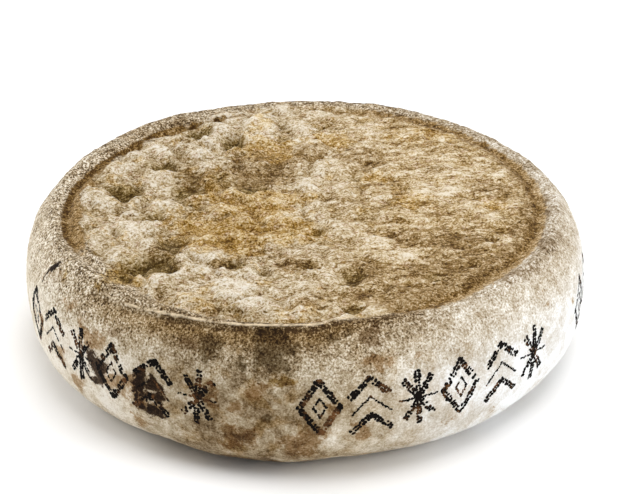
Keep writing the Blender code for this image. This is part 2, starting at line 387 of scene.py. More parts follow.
@dataclass(frozen=True)
class PitSizes:
    """The deep pits, the small ones strewn between them, and the shape that they share."""

    deep: tuple[Pit, ...] = (
        Pit(-0.0395, 0.0600, 0.0065, 0.0026), Pit(-0.0275, 0.0530, 0.0065, 0.0028),
        Pit(-0.0525, 0.0320, 0.0072, 0.0028), Pit(-0.0660, 0.0110, 0.0088, 0.0028),
        Pit(-0.0425, 0.0115, 0.0078, 0.0022), Pit(-0.0195, 0.0125, 0.0065, 0.0020),
        Pit(-0.0555, -0.0095, 0.0072, 0.0016), Pit(-0.0465, -0.0300, 0.0062, 0.0016),
        Pit(-0.0530, -0.0460, 0.0115, 0.0030), Pit(-0.0625, -0.0550, 0.0065, 0.0026),
        Pit(-0.0240, -0.0475, 0.0060, 0.0014), Pit(0.0155, -0.0550, 0.0070, 0.0015),
        Pit(0.0160, -0.0780, 0.0048, 0.0020),
    )
    small_count: int = 26
    small_spread: float = 0.9462
    small_radii: tuple[float, float] = (0.0028, 0.0052)
    small_depths: tuple[float, float] = (0.0005, 0.0012)
    steep_side: tuple[float, float, float] = (0.45, -0.89, 0.0)
    steep_floor: float = 0.62
    gentle_floor: float = 0.10
    edge_share: float = 0.35
    edge_away: float = 1.15
    edge_width: float = 0.28
    # Painted shade at the foot of each steep pit wall: where, how wide and how strong
    foot_away: float = 0.72
    foot_width: float = 0.17
    foot_shade: float = 2.6
    reach: float = 2.0
    raggedness: float = 0.40
    rag_size: float = 0.006
    seed: int = 73
    # How deep a pit is where its olive colour and painted shade are full
    stain_and_shade_depth: float = 0.0020

    def all_pits(self, crust_radius: float) -> list[Pit]:
        """The deep pits, and the small ones by a seeded draw.

        Args:
            crust_radius: where the crust ends.

        Returns:
            Every pit of the top.
        """
        draw = random.Random(self.seed)
        pits = list(self.deep)
        for _ in range(self.small_count):
            distance = crust_radius * self.small_spread * math.sqrt(draw.random())
            angle = draw.uniform(0, 2 * math.pi)
            radius = draw.uniform(*self.small_radii)
            depth = draw.uniform(*self.small_depths)
            pits.append(Pit(distance * math.cos(angle), distance * math.sin(angle), radius, depth))
        return pits


class WheelForm:
    """The wheel's shape: a half section turned round the axis, and the relief on it."""

    meridian_steps = 600
    normal_stretch = 0.0004
    heel_width = 0.0214
    heel_roundness = 2.57

    def __init__(self, diameter: float, height: float) -> None:
        """Measures the half section.

        Args:
            diameter: across the widest part.
            height: to the plain top.
        """
        self.diameter = diameter
        self.height = height
        self.rim = RimSizes()
        self.crust = CrustSizes()
        self.side = SideSizes()
        self.pit_sizes = PitSizes()
        self.pits = self.pit_sizes.all_pits(self.crust.radius)
        self.steep_side = Vector(self.pit_sizes.steep_side)
        turn = math.radians(self.crust.fibre_turn)
        self.fibre_axis = (math.cos(turn), math.sin(turn))
        self.points = self.meridian()
        self.lengths = [0.0]
        for (r0, z0), (r1, z1) in zip(self.points, self.points[1:]):
            self.lengths.append(self.lengths[-1] + math.hypot(r1 - r0, z1 - z0))

    def meridian(self) -> list[tuple[float, float]]:
        """Points (radius, height) of the half section, from the top's middle down.

        Returns:
            The points.
        """
        points = [(0.0, self.height)]
        for step in range(self.meridian_steps + 1):
            turn = math.pi * step / self.meridian_steps
            reach = max(0.0, math.sin(turn)) ** (2 / self.heel_roundness)
            rise = math.copysign(abs(math.cos(turn)) ** (2 / self.heel_roundness), math.cos(turn))
            radius = self.diameter / 2 - self.heel_width * (1 - reach)
            points.append((radius, self.height / 2 * (1 + rise)))
        points.append((0.0, 0.0))
        return points

    def at(self, length: float) -> tuple[float, float]:
        """(radius, height) that far along the half section.

        Args:
            length: how far along.

        Returns:
            The pair.
        """
        index = min(max(bisect.bisect_right(self.lengths, length), 1), len(self.points) - 1)
        before, after = self.points[index - 1], self.points[index]
        span = self.lengths[index] - self.lengths[index - 1]
        share = (length - self.lengths[index - 1]) / span if span else 0.0
        return tuple(a + (b - a) * share for a, b in zip(before, after))

    def normal(self, length: float) -> tuple[float, float]:
        """(outward, upward) parts of the normal, taken over a short stretch.

        Args:
            length: how far along the half section.

        Returns:
            The pair.
        """
        r0, z0 = self.at(max(0.0, length - self.normal_stretch))
        r1, z1 = self.at(min(self.lengths[-1], length + self.normal_stretch))
        size = math.hypot(r1 - r0, z1 - z0)
        return (z0 - z1) / size, (r1 - r0) / size

    def side_point(self, angle: float, height: float, out: float = 0.0) -> Vector:
        """A point of the plain side.

        Args:
            angle: degrees from +X.
            height: above the floor.
            out: how far outside the side.

        Returns:
            The point.
        """
        share = abs(height - self.height / 2) / (self.height / 2)
        inward = 1 - (1 - min(1.0, share) ** self.heel_roundness) ** (1 / self.heel_roundness)
        radius = self.diameter / 2 - self.heel_width * inward + out
        turn = math.radians(angle)
        return Vector((radius * math.cos(turn), radius * math.sin(turn), height))

    def pit_height(self, flat: Vector) -> tuple[float, float, float]:
        """The pits and their raised edges.

        Args:
            flat: a place on the top.

        Returns:
            The relief there, how deep the pits alone are, and 1 at the foot of a steep wall, where painted
            shade goes.
        """
        sizes = self.pit_sizes
        hollow = edge = foot = 0.0
        for pit in self.pits:
            offset = flat - Vector((pit.x, pit.y, 0.0))
            if offset.length < sizes.reach * pit.radius:
                away = offset.length / pit.radius
                away += sizes.raggedness * noise.noise(flat / sizes.rag_size)
                steep = 0.5 + 0.5 * offset.normalized().dot(self.steep_side)
                floor = sizes.gentle_floor + (sizes.steep_floor - sizes.gentle_floor) * steep
                hollow = max(hollow, pit.depth * (1 - smooth_step(floor, 1.0, away)))
                raised = sizes.edge_share * pit.depth * steep
                edge = max(edge, raised * bell(away, sizes.edge_away, sizes.edge_width))
                # Painted shade at the foot of the steep wall, stronger for deeper pits
                dark = steep * steep * min(1.0, pit.depth / sizes.stain_and_shade_depth)
                foot = max(foot, dark * bell(away, sizes.foot_away, sizes.foot_width))
        return edge - hollow, hollow, foot

    def fine_crust(self, flat: Vector, warped: Vector) -> float:
        """Knobs, fibres and grit on the crust, finer than the solid holds.

        Args:
            flat: a place on the top.
            warped: the same place, shifted by noise.

        Returns:
            Their relief.
        """
        crust = self.crust
        cosine, sine = self.fibre_axis
        along = (flat.x * cosine + flat.y * sine) / crust.fibre_length
        across = (warped.y * cosine - warped.x * sine) / crust.fibre_width
        knobs = billow(warped, crust.knob_size, 2) - crust.knob_mean
        fibres = noise.noise(Vector((along, across, 0.0)))
        grit = noise.noise(flat / crust.grit_size)
        return crust.knob_height * knobs + crust.fibre_height * fibres + crust.grit_height * grit

    def side_height(self, point: Vector, angle: float) -> float:
        """Swells, dents and pocks of the side, turned inwards low down, and the worn heel.

        Args:
            point: a place on the plain wheel.
            angle: its direction, in degrees.

        Returns:
            Their relief.
        """
        side = self.side
        height = side.swell_height * noise.noise(point / side.swell_size)
        height += side.dent_height * noise.noise(point / side.dent_size)
        low = 1 - smooth_step(0, side.heel_clear, point.z)
        worn = value_round(side.heel_round, angle) * (1 - smooth_step(0, self.height / 2, point.z))
        height = height * (1 - low) - abs(height) * low - worn
        height += side.pock_height * noise.noise(point / side.pock_size) * (1 - low)
        return height + side.grit_height * noise.noise(point / side.grit_size) * (1 - low)

    def underside_height(self, flat: Vector) -> float:
        """Shallow hollows that go up into the underside.

        Args:
            flat: a place on the underside.

        Returns:
            Their relief.
        """
        crust = self.crust
        warped = flat + drift(flat / crust.warp_size) * crust.warp_reach
        nearest, second = noise.voronoi(warped / self.side.hollow_size)[0][:2]
        hollow = 1 - smooth_step(0, crust.crease_share, second - nearest)
        pocks = max(0.0, noise.noise(warped / crust.knob_size))
        depth = max(0.0, hollow * self.side.hollow_share + pocks * self.side.pock_share)
        return -self.side.hollow_depth * depth

    def relief(self, point: Vector) -> RindPoint:
        """What the rind is like at a point of the plain wheel.

        Args:
            point: the place on the wheel without relief.

        Returns:
            Its height along the normal, and what kind of rind it is.
        """
        radius = math.hypot(point.x, point.y)
        angle = math.degrees(math.atan2(point.y, point.x))
        flat = Vector((point.x, point.y, 0.0))
        if point.z < self.height / 2:
            rest = self.side.rest_radius
            off_floor = smooth_step(rest, rest + self.heel_width / 2, radius)
            height = self.side_height(point, angle) * off_floor
            if off_floor < 1:
                height += self.underside_height(flat) * (1 - off_floor)
            return RindPoint(height)
        rim, crust = self.rim, self.crust
        wander = rim.wander * noise.noise(flat / rim.wander_size)
        share = value_round(rim.furrow_round, angle)
        scallop = share * crust.scallop_reach * noise.noise(flat / crust.scallop_size)
        edge = crust.radius + crust.spread * (1 - share) + wander - abs(scallop)
        on_crust = 1 - smooth_step(edge - crust.fade, edge + crust.fade, radius)
        line = value_round(rim.furrow_line, angle) + wander
        furrow = share * bell(radius, line, rim.furrow_width)
        height = self.side_height(point, angle) * (1 - on_crust)
        height += rim.lip_height * bell(radius, rim.lip_radius + wander, rim.lip_width)
        height -= rim.furrow_depth * furrow
        thin = value_round(rim.ridge_round, angle)
        ridge_radius = value_round(rim.ridge_line, angle)
        ragged = rim.ridge_mean + rim.ridge_swing * noise.noise(flat / rim.ridge_rag_size)
        ridge = thin * ragged * bell(radius, ridge_radius, rim.ridge_width)
        # crease_and_shade: the dent outside the front ridge, which is also painted dark as its shadow
        crease_and_shade = thin * bell(radius, ridge_radius + rim.crease_away, rim.crease_width)
        height += rim.ridge_height * ridge - rim.crease_depth * crease_and_shade
        soil = value_round(rim.soil_round, angle)
        # Painted shade along the foot of the lip's inner wall
        gutter_shade = soil * bell(radius, line + value_round(rim.gutter_round, angle), rim.gutter_width)
        line += rim.soil_away
        inner = line - value_round(rim.soil_width, angle) + scallop
        furrow = soil * smooth_step(inner - rim.soil_in, inner + rim.soil_in, radius)
        furrow *= 1 - smooth_step(line, line + value_round(rim.soil_out, angle), radius)
        # band: brown dirt with painted shadow under the ridge
        band = thin * bell(radius, ridge_radius + rim.band_away, rim.band_width)
        if radius > rim.rough_to:
            return RindPoint(height, 0, 0, crease_and_shade, furrow, gutter_shade, ridge, band, 0)
        warped = flat + drift(flat / crust.warp_size) * crust.warp_reach
        fine = self.fine_crust(flat, warped)
        if on_crust <= 0:
            fine *= rim.roughness * (1 - smooth_step(rim.lip_radius, rim.rough_to, radius))
            height += fine
            return RindPoint(height, 0, 0, crease_and_shade, furrow, gutter_shade, ridge, band, fine / MILLIMETRE)
        nearest, second = noise.voronoi(warped / crust.mound_size)[0][:2]
        mound = smooth_step(0, crust.crease_share, second - nearest)
        wrinkle = billow(warped, crust.wrinkle_size, crust.wrinkle_octaves)
        vigour = 1 - (1 - crust.calm_share) * smooth_step(crust.calm_from, crust.calm_to, flat.x)
        bumps = crust.mound_height * (mound - crust.mean_mound)
        bumps += crust.wrinkle_height * (wrinkle - crust.mean_wrinkle)
        pits, depth, foot = self.pit_height(flat)
        fine *= rim.roughness + (0.5 + 0.5 * vigour - rim.roughness) * on_crust
        height += on_crust * (crust.level + vigour * bumps + pits) + fine
        # pit: the olive colour of pit floors, also darkened there as painted shade
        pit = min(1.0, depth / self.pit_sizes.stain_and_shade_depth) * on_crust
        # Creases between mounds and the feet of steep pit walls are painted darker as shade
        crease_and_shade = max(crease_and_shade, (1 - mound) * vigour * on_crust, self.pit_sizes.foot_shade * foot * on_crust)
        return RindPoint(height, on_crust, pit, crease_and_shade, furrow, gutter_shade, ridge, band, fine / MILLIMETRE)


@dataclass
class RindMesh:
    """The fine mesh of the rind: rings of vertices zipped together with triangles."""

    form: WheelForm
    crust_gap: float = 0.00085
    rim_gap: float = 0.00056
    rim_from: float = 0.0800
    rim_to: float = 0.0945
    ridge_gap: float = 0.00036
    ridge_from: float = 0.0885
    ridge_to: float = 0.0925
    side_gap: float = 0.00118
    under_gap: float = 0.0021
    under_radius: float = 0.0720
    row_share: float = 0.87
    points: list[Vector] = field(default_factory=list)
    samples: list[RindPoint] = field(default_factory=list)
    faces: list[tuple[int, int, int]] = field(default_factory=list)

    def ring_gap(self, radius: float, height: float) -> float:
        """Distance from one ring to the next.

        Args:
            radius: how wide the ring is.
            height: how high it lies.

        Returns:
            The distance along the half section.
        """
        if height > self.form.height / 2:
            if self.ridge_from < radius < self.ridge_to:
                return self.ridge_gap
            if self.rim_from < radius < self.rim_to:
                return self.rim_gap
        return self.point_gap(radius, height) * self.row_share

    def point_gap(self, radius: float, height: float) -> float:
        """Distance from one vertex of a ring to the next.

        Args:
            radius: how wide the ring is.
            height: how high it lies.

        Returns:
            The distance round the ring.
        """
        if height > self.form.height / 2 and radius < self.rim_to:
            return self.crust_gap
        if height < self.form.height / 2 and radius < self.under_radius:
            return self.under_gap
        return self.side_gap

    def add_point(self, plain: Vector, normal: Vector) -> int:
        """Adds one vertex.

        Args:
            plain: its place on the plain wheel.
            normal: the way that the relief goes.

        Returns:
            Its number.
        """
        sample = self.form.relief(plain)
        self.points.append(plain + normal * sample.height)
        self.samples.append(sample)
        return len(self.points) - 1

    def add_ring(self, length: float, index: int) -> list[int]:
        """Adds one ring of vertices.

        Args:
            length: how far along the half section it lies.
            index: its number; every other ring is turned by half a step.

        Returns:
            The numbers of its vertices.
        """
        radius, height = self.form.at(length)
        outward, upward = self.form.normal(length)
        count = max(6, round(2 * math.pi * radius / self.point_gap(radius, height)))
        ring = []
        for step in range(count):
            angle = 2 * math.pi * (step + 0.5 * (index % 2)) / count
            cosine, sine = math.cos(angle), math.sin(angle)
            plain = Vector((radius * cosine, radius * sine, height))
            ring.append(self.add_point(plain, Vector((outward * cosine, outward * sine, upward))))
        return ring

    def zip_rings(self, inner: list[int], outer: list[int]) -> None:
        """Adds the triangles between two rings, whose counts of vertices may differ.

        Args:
            inner: the vertices of one ring.
            outer: those of the next.
        """
        i = j = 0
        while i < len(inner) or j < len(outer):
            here, there = inner[i % len(inner)], outer[j % len(outer)]
            if j >= len(outer) or (i < len(inner) and (i + 1) * len(outer) <= (j + 1) * len(inner)):
                i += 1
                self.faces.append((here, there, inner[i % len(inner)]))
            else:
                j += 1
                self.faces.append((here, there, outer[j % len(outer)]))

    def close_ring(self, ring: list[int], middle: int, upwards: bool) -> None:
        """Adds a fan of triangles from a ring to one vertex."""
        for here, there in zip(ring, ring[1:] + ring[:1]):
            self.faces.append((here, there, middle) if upwards else (there, here, middle))

    def build(self, name: str) -> Piece:
        """Makes the closed wheel.

        Args:
            name: what the object is called.

        Returns:
            The object, not yet dressed.
        """
        rings = []
        length = self.crust_gap
        while length < self.form.lengths[-1] - self.under_gap / 2:
            radius, height = self.form.at(length)
            rings.append(self.add_ring(length, len(rings)))
            length += self.ring_gap(radius, height)
        for inner, outer in zip(rings, rings[1:]):
            self.zip_rings(inner, outer)
        top = self.add_point(Vector((0, 0, self.form.height)), Vector((0, 0, 1)))
        bottom = self.add_point(Vector((0, 0, 0)), Vector((0, 0, -1)))
        self.close_ring(rings[0], top, upwards=True)
        self.close_ring(rings[-1], bottom, upwards=False)
        mesh = bpy.data.meshes.new(name)
        mesh.from_pydata(self.centred(), [], self.faces)
        mesh.shade_smooth()
        wheel = bpy.data.objects.new(name, mesh)
        bpy.context.scene.collection.objects.link(wheel)
        for part in RindPoint._fields[1:]:
            set_attribute(mesh, part, np.array([getattr(s, part) for s in self.samples]))
        set_attribute(mesh, "lift", np.array([s.height for s in self.samples]) / MILLIMETRE)
        return wheel

    def centred(self) -> np.ndarray:
        """The vertices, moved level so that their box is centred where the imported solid's is.

        Returns:
            Their places, one row each.
        """
        places = np.array(self.points)
        low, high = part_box(WHEEL_NODE)
        for axis in (0, 1):
            middle = (places[:, axis].min() + places[:, axis].max()) / 2
            places[:, axis] += (low[axis] + high[axis]) / 2 - middle
        return places


def set_attribute(mesh: bpy.types.Mesh, name: str, values: np.ndarray) -> None:
    """Writes one number for each vertex of a mesh."""
    layer = mesh.attributes.new(name, "FLOAT", "POINT")
    layer.data.foreach_set("value", values.astype(np.float32))


def vertex_places(mesh: bpy.types.Mesh) -> np.ndarray:
    """The places of a mesh's vertices, one row each.

    Args:
        mesh: the mesh.

    Returns:
        The array.
    """
    places = np.zeros(len(mesh.vertices) * 3, np.float32)
    mesh.vertices.foreach_get("co", places)
    return places.reshape(-1, 3).astype(float)


@dataclass
class StainMap:
    """Where the rind is stained or mouldy: the places that show, and more by a seeded draw."""

    form: WheelForm
    seed: int = 19
    hidden_side: int = 34
    hidden_top: int = 22
    warp_size: float = 0.007
    warp_reach: float = 0.0055
    flatness: float = 1.35
    mould_round: RoundTable = (
        (-180, 0.80), (-160, 0.86), (-142, 0.86), (-127, 0.70), (-113, 0.14), (-96, 0.06), (-82, 0.44),
        (-62, 0.76), (-38, 0.98), (0, 1.00), (45, 0.75), (90, 0.45), (135, 0.55), (180, 0.80),
    )

    def on_top(self, kind: StainKind, x: float, y: float, radius: float, strength: float) -> Stain:
        """A stain of the top, with its place and radius in millimetres."""
        place = Vector((x * MILLIMETRE, y * MILLIMETRE, self.form.height))
        return Stain(kind, place, radius * MILLIMETRE, strength)

    def on_side(self, kind: StainKind, angle: float, z: float, radius: float, strength: float) -> Stain:
        """A stain of the side, with its height and radius in millimetres."""
        place = self.form.side_point(angle, z * MILLIMETRE)
        return Stain(kind, place, radius * MILLIMETRE, strength)

    def shown(self) -> list[Stain]:
        """The stains that stand out from in front."""
        top = [self.on_top(kind, *row) for kind, rows in TOP_STAINS.items() for row in rows]
        return top + [self.on_side(kind, *row) for kind, rows in SIDE_STAINS.items() for row in rows]

    def hidden(self) -> list[Stain]:
        """Stains of the back and of the +X part of the top, by a seeded draw.

        Returns:
            The stains.
        """
        draw = random.Random(self.seed)
        stains = []
        for _ in range(self.hidden_side):
            kind = draw.choice((StainKind.RUSTY, StainKind.RUSTY, StainKind.BROWN, StainKind.GREY))
            angle = draw.uniform(-5, 175)
            height = draw.uniform(8, 52)
            stains.append(self.on_side(kind, angle, height, draw.uniform(3, 7), draw.uniform(0.6, 1.0)))
        for _ in range(self.hidden_top):
            kind = draw.choice((StainKind.GOLDEN, StainKind.BROWN, StainKind.PALE))
            x, y = draw.uniform(-20, 70), draw.uniform(-10, 72)
            if math.hypot(x, y) < self.form.crust.radius / MILLIMETRE:
                stains.append(self.on_top(kind, x, y, draw.uniform(6, 14), draw.uniform(0.6, 1.0)))
        return stains

    def write(self, mesh: bpy.types.Mesh) -> None:
        """Writes each kind of stain and the mould to the mesh, as numbers from 0 to 1.

        Args:
            mesh: the wheel's mesh.
        """
        places = vertex_places(mesh)
        bent = [drift(Vector(place) / self.warp_size) for place in places]
        warped = places + np.array(bent) * self.warp_reach
        marks = {kind: np.zeros(len(places)) for kind in StainKind}
        for stain in self.shown() + self.hidden():
            offset = (warped - np.array(stain.place)) * (1.0, 1.0, self.flatness)
            away = np.linalg.norm(offset, axis=1) / stain.radius
            mark = stain.strength * np.exp(-(away**2))
            marks[stain.kind] = np.maximum(marks[stain.kind], mark)
        for kind, mark in marks.items():
            set_attribute(mesh, kind.value, mark)
        angles = np.degrees(np.arctan2(places[:, 1], places[:, 0]))
        mould = [value_round(self.mould_round, angle) for angle in angles]
        set_attribute(mesh, "mould", np.array(mould))


class NodeBench:
    """Adds nodes to a tree and joins them up."""

    def __init__(self, tree: Tree) -> None:
        """Takes the tree to work on."""
        self.tree = tree

    def put(self, socket: Socket, value: object) -> None:
        """Links a socket to a value, or sets it where the value isn't an output.

        Args:
            socket: where it goes in.
            value: another node's output, a number, a colour or nothing.
        """
        if isinstance(value, Socket):
            self.tree.links.new(value, socket)
        elif isinstance(value, Tint):
            socket.default_value = value.value
        elif value is not None:
            socket.default_value = value

    def add(self, kind: str, inputs: dict | None = None, **settings: object) -> Node:
        """Adds a node.

        Args:
            kind: the node's type.
            inputs: what goes into its sockets, by name or number.
            settings: its own properties.

        Returns:
            The node.
        """
        node = self.tree.nodes.new(kind)
        for name, value in settings.items():
            setattr(node, name, value)
        for name, value in (inputs or {}).items():
            self.put(node.inputs[name], value)
        return node

    def output(self, kind: str, inputs: dict | None = None, **settings: object) -> Socket:
        """The first output of a new node."""
        return self.add(kind, inputs, **settings).outputs[0]

    def place(self) -> Socket:
        """The place on the object."""
        return self.add("ShaderNodeTexCoord").outputs["Object"]

    def part(self, place: object, axis: str) -> Socket:
        """One coordinate of a place."""
        return self.add("ShaderNodeSeparateXYZ", {0: place}).outputs[axis]

    def attribute(self, name: str) -> Socket:
        """A number that the mesh holds for each vertex."""
        return self.add("ShaderNodeAttribute", attribute_name=name).outputs["Fac"]

    def math(self, operation: str, first: object, second: object = None) -> Socket:
        """One sum, clamped to nothing."""
        return self.output("ShaderNodeMath", {0: first, 1: second}, operation=operation)

    def times(self, first: object, second: object) -> Socket:
        """The product of two."""
        return self.math("MULTIPLY", first, second)

    def most(self, first: object, second: object) -> Socket:
        """The larger of two."""
        return self.math("MAXIMUM", first, second)

    def total(self, *parts: object) -> Socket:
        """The sum of all parts, where a pair stands for its product.

        Args:
            parts: outputs or numbers, or pairs of them.

        Returns:
            The sum.
        """
        result, *others = [self.times(*part) if isinstance(part, tuple) else part for part in parts]
        for other in others:
            result = self.math("ADD", result, other)
        return result

    def step(self, value: object, low: object, high: object) -> Socket:
        """An S-curve from 0 at low to 1 at high."""
        inputs = {"Value": value, "From Min": low, "From Max": high}
        return self.output("ShaderNodeMapRange", inputs, interpolation_type="SMOOTHSTEP")

    def mix(self, share: object, first: object, second: object) -> Socket:
        """Two colours mixed, the second by share.

        Args:
            share: 0 for the first, 1 for the second.
            first: a colour.
            second: the other colour.

        Returns:
            The mixed colour.
        """
        node = self.add("ShaderNodeMix", data_type="RGBA", blend_type="MIX", clamp_factor=True)
        self.put(node.inputs["Factor"], share)
        self.put(node.inputs[6], first)
        self.put(node.inputs[7], second)
        return node.outputs[2]

    def scaled(self, vector: object, factor: object) -> Socket:
        """A colour or a vector times a factor."""
        return self.output("ShaderNodeVectorMath", {0: vector, "Scale": factor}, operation="SCALE")

    def stretched(self, place: object, scale: tuple[float, float, float], turn: float) -> Socket:
        """A place turned about Z by degrees, and then scaled."""
        inputs = {"Vector": place, "Rotation": (0.0, 0.0, math.radians(turn)), "Scale": scale}
        return self.output("ShaderNodeMapping", inputs, vector_type="TEXTURE")

    def noise(self, place: object, grain: Grain) -> Socket:
        """Noise of about the grain's size, from 0 to 1 and mostly round 0.5."""
        inputs = {"Vector": place, "Scale": 1 / grain.size, "Detail": grain.detail,
                  "Roughness": grain.rough, "Distortion": grain.twist}
        return self.output("ShaderNodeTexNoise", inputs)

    def swing(self, value: object, reach: float) -> Socket:
        """Noise from 0 to 1 turned into one round 0, times reach."""
        return self.output("ShaderNodeMath", {0: value, 1: reach, 2: -0.5 * reach}, operation="MULTIPLY_ADD")

    def through(self, colour: object, depth: object, stain: Film) -> Socket:
        """A colour seen through a film that is as deep as a mask says."""
        inputs = {0: colour, 1: self.ramp(depth, stain)}
        return self.output("ShaderNodeVectorMath", inputs, operation="MULTIPLY")

    def ramp(self, value: object, colours: Tones | Film) -> Socket:
        """A colour from a range, its first at 0 and its last at 1.

        Args:
            value: where in the range.
            colours: the range, in even steps.

        Returns:
            The colour.
        """
        node = self.add("ShaderNodeValToRGB", {0: value})
        elements = node.color_ramp.elements
        while len(elements) < len(colours.value):
            elements.new(0.5)
        for index, colour in enumerate(colours.value):
            elements[index].position = index / (len(elements) - 1)
            elements[index].color = colour
        return node.outputs[0]

    def group(self, tree: Tree, place: object, **inputs: object) -> Socket:
        """A mask from one of the shared node groups, with its numbers by name."""
        return self.output("ShaderNodeGroup", {"Vector": place, **inputs}, node_tree=tree)

    def stain(self, effects: "Effects", place: object, name: str, size: float, worn: float = 0.35) -> Socket:
        """A ragged mask from one kind of stain.

        Args:
            effects: the shared node groups.
            place: the place on the object.
            name: the mesh attribute that holds the stain.
            size: how large the rags of its border are.
            worn: how much of the rind shows through it.

        Returns:
            The mask.
        """
        return self.group(effects.stain, place, Mark=self.attribute(name), Size=size, Worn=worn)


class Effects:
    """The node groups that the finishes share: each turns a place and some numbers into a mask."""

    def __init__(self) -> None:
        """Builds each group once."""
        self.mottle = self.build_mottle()
        self.stain = self.build_stain()
        self.specks = self.build_specks()

    @staticmethod
    def new_group(name: str, inputs: dict[str, float]) -> tuple[NodeBench, bpy.types.NodeOutputs, Node]:
        """An empty group with its sockets.

        Args:
            name: the group's name.
            inputs: the first value of each number that goes in.

        Returns:
            Its bench, what goes in by name, and the output node.
        """
        tree = bpy.data.node_groups.new(name, "ShaderNodeTree")
        tree.interface.new_socket("Vector", in_out="INPUT", socket_type="NodeSocketVector")
        for label, value in inputs.items():
            socket = tree.interface.new_socket(label, in_out="INPUT", socket_type="NodeSocketFloat")
            socket.default_value = value
        tree.interface.new_socket("Mask", in_out="OUTPUT", socket_type="NodeSocketFloat")
        bench = NodeBench(tree)
        return bench, bench.add("NodeGroupInput").outputs, bench.add("NodeGroupOutput")

    @staticmethod
    def texture(bench: NodeBench, given: bpy.types.NodeOutputs, finer: float, detail: float,
                rough: float = 0.5, twist: float = 0.0) -> Socket:
        """Noise of the group's size, or so many times finer.

        Args:
            bench: the group's bench.
            given: what goes into the group.
            finer: how many times finer.
            detail: how many finer octaves it has.
            rough: how strong they are.
            twist: how much it is bent.

        Returns:
            The noise, from 0 to 1.
        """
        scale = bench.math("DIVIDE", finer, given["Size"])
        inputs = {"Vector": given["Vector"], "Scale": scale, "Detail": detail, "Roughness": rough,
                  "Distortion": twist}
        return bench.output("ShaderNodeTexNoise", inputs)

    def build_mottle(self) -> Tree:
        """Soft-edged patches: a mask from noise of a given size, cut between two levels.

        Returns:
            The group.
        """
        bench, given, result = self.new_group("mottle", {"Size": 0.005, "Low": 0.45, "High": 0.60})
        patches = self.texture(bench, given, 1.0, 5.0, 0.62, 0.4)
        bench.put(result.inputs[0], bench.step(patches, given["Low"], given["High"]))
        return bench.tree

    def build_stain(self) -> Tree:
        """A stain with a ragged border, from the mesh's soft mark.

        Returns:
            The group.
        """
        numbers = {"Mark": 0.0, "Size": 0.004, "Rag": 1.5, "Worn": 0.35}
        bench, given, result = self.new_group("ragged_stain", numbers)
        rags = self.texture(bench, given, 1.0, 6.0, 0.65, 0.5)
        mark = bench.total(given["Mark"], (bench.math("SUBTRACT", rags, 0.5), given["Rag"]))
        inside = bench.step(given["Mark"], 0.02, 0.25)
        flecks = self.texture(bench, given, 2.6, 4.0, 0.65)
        bare = bench.times(bench.step(flecks, 0.56, 0.36), given["Worn"])
        whole = bench.times(bench.step(mark, 0.22, 0.62), inside)
        bench.put(result.inputs[0], bench.times(whole, bench.math("SUBTRACT", 1.0, bare)))
        return bench.tree

    def build_specks(self) -> Tree:
        """Small ragged specks: one in some of the cells of a given size.

        Returns:
            The group.
        """
        bench, given, result = self.new_group("specks", {"Size": 0.002, "Share": 0.4, "Reach": 0.35})
        scale = bench.math("DIVIDE", 1.0, given["Size"])
        cells = bench.add("ShaderNodeTexVoronoi", {"Vector": given["Vector"], "Scale": scale}).outputs
        rags = self.texture(bench, given, 2.5, 2.0)
        away = bench.total(cells["Distance"], (bench.math("SUBTRACT", rags, 0.5), 0.8))
        draw = bench.output("ShaderNodeSeparateColor", {"Color": cells["Color"]})
        chosen = bench.math("LESS_THAN", draw, given["Share"])
        near = bench.step(away, given["Reach"], 0.05)
        bench.put(result.inputs[0], bench.times(near, chosen))
        return bench.tree


def new_material(name: str, roughness: float, specular: float) -> tuple[bpy.types.Material, NodeBench, Node]:
    """A material with a bench for its tree and its Principled shader.

    Args:
        name: the material's name.
        roughness: how matt it is.
        specular: how strongly it reflects.

    Returns:
        The material, the bench and the shader.
    """
    material = bpy.data.materials.new(name)
    material.use_nodes = True
    shader = material.node_tree.nodes["Principled BSDF"]
    shader.inputs["Roughness"].default_value = roughness
    shader.inputs["Specular IOR Level"].default_value = specular
    return material, NodeBench(material.node_tree), shader


